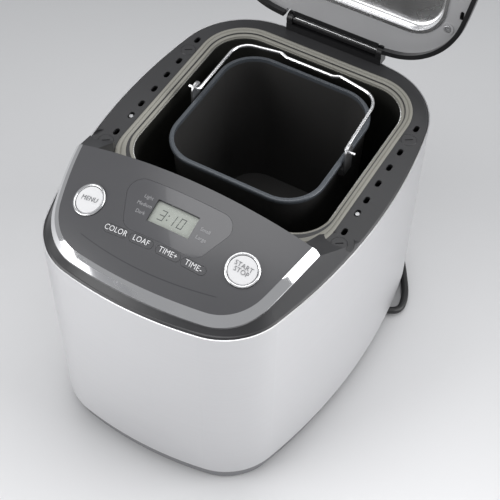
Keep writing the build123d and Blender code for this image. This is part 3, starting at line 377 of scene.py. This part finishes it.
# clockwise turns from the front of the ring, the last one lying on the others
def coilTurns():
    centre = cordSetup["coilCentre"]
    points = []
    for step in range(cordSetup["turns"] * cordSetup["perTurn"] - 1):
        turn = step / cordSetup["perTurn"]
        radius, height = next(layer[1:] for layer in cordSetup["layers"] if turn >= layer[0])
        angle = radians(270) - 2 * pi * turn
        points.append((centre[0] + radius * cos(angle), centre[1] + radius * sin(angle), height))
    points = np.array(points)
    points[1:-1, 2] = (points[:-2, 2] + points[1:-1, 2] + points[2:, 2]) / 3  # eases each climb
    return [tuple(point) for point in points]


def makeCord():
    points = cordSetup["route"] + coilTurns() + cordSetup["tail"]
    data = bpy.data.curves.new("cordLine", "CURVE")
    data.dimensions = "3D"
    data.bevel_depth = cordSetup["width"] / 2
    data.bevel_resolution = 5
    data.resolution_u = 10
    data.use_fill_caps = True
    spline = data.splines.new("NURBS")
    spline.points.add(len(points) - 1)
    for control, point in zip(spline.points, points):
        control.co = (*point, 1)
    spline.order_u = 3
    spline.use_endpoint_u = True
    data.materials.append(cordBlack.material)
    cord = addObject("cordLine", data)
    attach(cord, "chassis")
    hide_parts("power_cord", "power_cord_coil", "power_cord_tail")
    return cord


cordLine = makeCord()
print("cord laid")


# millimetres: each outline is size, size, corner radius, middle y
gasketSetup = {
    "inner": (186.4, 188.6, 33.8, 10.0),
    "outer": (205.2, 219.0, 43.0, 4.4),
    "deck": 222,
    # share of the way from the inner to the outer outline, height over the deck
    "bands": [
        (0.00, -3.1), (0.00, -1.4), (0.02, -1.0), (0.06, -0.75), (0.24, -0.55), (0.29, -0.65),
        (0.31, -1.5), (0.35, -1.5), (0.37, -0.1), (0.40, 0.35), (0.46, 0.6), (0.60, 0.8),
        (0.645, 0.75), (0.66, 0.1), (0.70, 0.1), (0.715, 0.85), (0.75, 1.1), (0.86, 1.2),
        (0.95, 1.1), (0.985, 0.8), (1.00, 0.35), (1.00, 0.0),
    ],
}


# rounded rectangle: four quarter circles joined by straight runs, as many points at any size
def roundedLoop(sizeX, sizeY, radius, centreY, arcSteps=18, runSteps=14):
    signs = np.array([(1, 1), (-1, 1), (-1, -1), (1, -1)])
    centres = signs * (sizeX / 2 - radius, sizeY / 2 - radius) + (0, centreY)
    angles = pi / 2 * (np.arange(4)[:, None] + np.linspace(0, 1, arcSteps + 1))
    arcs = centres[:, None] + radius * np.stack([np.cos(angles), np.sin(angles)], axis=-1)
    starts, ends = arcs[:, -1], np.roll(arcs[:, 0], -1, axis=0)
    steps = np.arange(1, runSteps)[:, None] / runSteps
    runs = starts[:, None] + (ends - starts)[:, None] * steps
    return np.concatenate([arcs, runs], axis=1).reshape(-1, 2)


# quads between neighbouring rows of points, each row closed on itself
def ringFaces(rows, columns):
    here = np.arange((rows - 1) * columns).reshape(rows - 1, columns)
    beside = np.roll(here, -1, axis=1)
    return np.stack([here, beside, beside + columns, here + columns], axis=-1).reshape(-1, 4).tolist()


# surface of two parameters: along the outline, and across the bands from inner to outer outline
def makeGasket():
    inner, outer = roundedLoop(*gasketSetup["inner"]), roundedLoop(*gasketSetup["outer"])
    across, heights = np.array(gasketSetup["bands"]).T
    plan = inner + (outer - inner) * across[:, None, None]
    levels = np.broadcast_to(gasketSetup["deck"] + heights[:, None, None], (*plan.shape[:2], 1))
    points = np.concatenate([plan, levels], axis=-1).reshape(-1, 3) * mm
    faces = ringFaces(len(across), len(inner))
    ring = addPiece("gasketRing", points, faces, gasketTaupe, "chassis")
    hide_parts("oven_gasket")


makeGasket()
print("gasket made")


# millimetres: the control panel rolls front to back and is crowned from side to side
panelSetup = {"crown": 385.0, "roll": 256.0, "crestY": -66.9, "crestZ": 273.2}


# height of the panel: a roll circle whose radius shrinks by the crown circle's fall at that x
def panelHeight(x, y):
    crown, roll = panelSetup["crown"], panelSetup["roll"]
    radius = roll - (crown - np.sqrt(crown**2 - x**2))
    return panelSetup["crestZ"] - roll + np.sqrt(radius**2 - (y - panelSetup["crestY"]) ** 2)


# upright vector of the panel's surface, from its slopes across 1 mm
def panelNormal(x, y):
    slopeX = panelHeight(x + 0.5, y) - panelHeight(x - 0.5, y)
    slopeY = panelHeight(x, y + 0.5) - panelHeight(x, y - 0.5)
    return Vector((-slopeX, -slopeY, 1)).normalized()


# flat text made a mesh, then laid over the panel at a lift in millimetres
def layWord(name, text, size, centre, finish, lift, body, spacing=1.0):
    data = bpy.data.curves.new(name, "FONT")
    data.body = text
    data.size = size
    data.align_x = data.align_y = "CENTER"
    data.space_line = 0.82
    data.space_character = spacing
    data.resolution_u = 3
    holder = addObject(name + "Flat", data)
    bpy.context.view_layer.update()
    scene = bpy.context.evaluated_depsgraph_get()
    flatMesh = bpy.data.meshes.new_from_object(holder.evaluated_get(scene))
    flat = np.empty(len(flatMesh.vertices) * 3)
    flatMesh.vertices.foreach_get("co", flat)
    x, y = flat.reshape(-1, 3)[:, 0] + centre[0], flat.reshape(-1, 3)[:, 1] + centre[1]
    faces = [tuple(face.vertices) for face in flatMesh.polygons]
    bpy.data.objects.remove(holder)
    bpy.data.meshes.remove(flatMesh)
    points = np.stack([x, y, panelHeight(x, y) + lift], axis=-1) * mm
    addPiece(name, points, faces, finish, body, smooth=False)


inkWhite = plastic("inkWhite", (0.80, 0.80, 0.81), 0.5, 0.00001)
inkGrey = plastic("inkGrey", (0.20, 0.20, 0.21), 0.5, 0.00001)
inkFaint = plastic("inkFaint", (0.36, 0.36, 0.37), 0.5, 0.00001)
segmentDark = plastic("segmentDark", (0.085, 0.095, 0.09), 0.4, 0.00001)

wordSetup = {
    # name: text, x, body
    "keys": {
        "wordColor": ("COLOR", -35.5, "color_push"), "wordLoaf": ("LOAF", -12.0, "loaf_push"),
        "wordTimeup": ("TIME+", 12.6, "time_up_push"), "wordTimedown": ("TIME-", 35.4, "time_down_push"),
    },
    # name: text, size, x, body
    "buttons": {
        "wordMenu": ("MENU", 5.4, -70.2, "menu_push"),
        "wordStart": ("START\nSTOP", 5.2, 70.2, "start_push"),
    },
    # text: place
    "choices": {
        "Light": (-25.0, -137.6), "Medium": (-25.0, -144.2), "Dark": (-25.0, -150.8),
        "Small": (30.0, -143.2), "Large": (30.0, -150.2),
    },
    "keyY": -170.4, "buttonY": -155.4,
    "keySize": 6.0, "choiceSize": 4.2,
    "keyLift": 0.5, "buttonLift": 1.5, "choiceLift": 0.02,
}
for name, (text, x, body) in wordSetup["keys"].items():
    layWord(name, text, wordSetup["keySize"], (x, wordSetup["keyY"]), inkWhite, wordSetup["keyLift"],
            body, 1.02)
for name, (text, size, x, body) in wordSetup["buttons"].items():
    layWord(name, text, size, (x, wordSetup["buttonY"]), inkGrey, wordSetup["buttonLift"],
            body, 1.05)
for text, place in wordSetup["choices"].items():
    layWord("word" + text, text, wordSetup["choiceSize"], place, inkFaint, wordSetup["choiceLift"],
            "chassis")
print("words laid on the panel")


# millimetres, on the display's own plane
digitSetup = {
    "wide": 5.2, "tall": 9.6, "bar": 1.15, "gap": 0.22, "lean": 0.12, "bottom": -5.6,
    "digits": [("abgcd", -13.2), ("bc", -4.0), ("abcdef", 4.2)],  # segments, left edge
    "dots": [-3.4, 0.6],
    "centre": (2, -145.3), "depth": 2.72,
}


# one seven-segment digit: each segment a flat bar between two corners, leaning to the right
def digitBars(segments, left):
    wide, tall, bar, gap = (digitSetup[key] for key in ("wide", "tall", "bar", "gap"))
    half = tall / 2
    spans = {
        "a": (0, tall - bar, wide, tall), "g": (0, half - bar / 2, wide, half + bar / 2),
        "d": (0, 0, wide, bar), "f": (0, half, bar, tall), "e": (0, 0, bar, half),
        "b": (wide - bar, half, wide, tall), "c": (wide - bar, 0, wide, half),
    }
    bars = []
    for segment in segments:
        x0, y0, x1, y1 = spans[segment]
        corners = ((x0 + gap, y0 + gap), (x1 - gap, y0 + gap), (x1 - gap, y1 - gap), (x0 + gap, y1 - gap))
        bars.append([(left + x + digitSetup["lean"] * y, digitSetup["bottom"] + y) for x, y in corners])
    return bars


def makeDigits():
    bars = [bar for segments, left in digitSetup["digits"] for bar in digitBars(segments, left)]
    bars += [[(-5.6, y), (-4.5, y), (-4.4, y + 1.1), (-5.5, y + 1.1)] for y in digitSetup["dots"]]
    corners = np.array(bars).reshape(-1, 2)
    x, y = digitSetup["centre"]
    normal = panelNormal(x, y)
    across = (Vector((1, 0, 0)) - normal * normal.x).normalized()
    origin = np.array((x, y, panelHeight(x, y))) - np.array(normal) * digitSetup["depth"]
    points = origin + corners[:, :1] * np.array(across) + corners[:, 1:] * np.array(normal.cross(across))
    faces = np.arange(len(points)).reshape(-1, 4).tolist()
    addPiece("displayDigits", points * mm, faces, segmentDark, "chassis", smooth=False)


makeDigits()
print("display digits made")


# the floor colour is a painted light falloff: light near the camera, painted shade far away
floorSetup = {
    "half": 9.0,
    "away": (-0.4926, 0.8703),  # along the floor, away from the camera
    "near": (0.86, 0.86, 0.87), "far": (0.20, 0.207, 0.215),
    "fadeFrom": -0.60, "fadeOver": 1.75,
}
lightSetup = {
    # place, width and height, power
    "boxFrontLeft": ((-1.7, -1.9, 1.1), (1.8, 2.0), 44),
    "boxRight": ((2.3, 0.7, 1.1), (1.9, 1.9), 46),
    "boxTop": ((-0.2, 0.5, 2.6), (2.0, 2.0), 30),
}
lightTargets = {"boxFrontLeft": (0, 0, 0.15), "boxRight": (0, 0, 0.15), "boxTop": (0, 0, 0.1)}


def makeFloor():
    finish = Finish("floorPaint", (0.6, 0.6, 0.61), 0.62)
    away = finish.x * floorSetup["away"][0] + finish.y * floorSetup["away"][1]
    # painted shade: the floor colour darkens with distance away from the camera
    near = finish.under(away, floorSetup["fadeFrom"], floorSetup["fadeOver"])
    finish.vary("Base Color", finish.mix(near, floorSetup["far"], floorSetup["near"]))
    finish.vary("Roughness", finish.noise(3, 2) * 0.06 + 0.58)
    half = floorSetup["half"]
    corners = [(-half, -half, 0), (half, -half, 0), (half, half, 0), (-half, half, 0)]
    mesh = bpy.data.meshes.new("studioFloor")
    mesh.from_pydata(corners, [], [(0, 1, 2, 3)])
    mesh.materials.append(finish.material)
    addObject("studioFloor", mesh)


def makeLights():
    for name, (place, size, power) in lightSetup.items():
        data = bpy.data.lights.new(name, "AREA")
        data.shape = "RECTANGLE"
        data.size, data.size_y = size
        data.energy = power
        aim = (Vector(lightTargets[name]) - Vector(place)).to_track_quat("-Z", "Y")
        addObject(name, data).matrix_world = Matrix.Translation(place) @ aim.to_matrix().to_4x4()
    world = bpy.data.worlds.new("studio")
    bpy.context.scene.world = world
    world.use_nodes = True
    backdrop = world.node_tree.nodes["Background"]
    backdrop.inputs["Color"].default_value = (0.80, 0.81, 0.83, 1)
    backdrop.inputs["Strength"].default_value = 0.42
    bpy.context.scene.view_settings.view_transform = "Standard"


makeFloor()
makeLights()
print("floor and lights set")
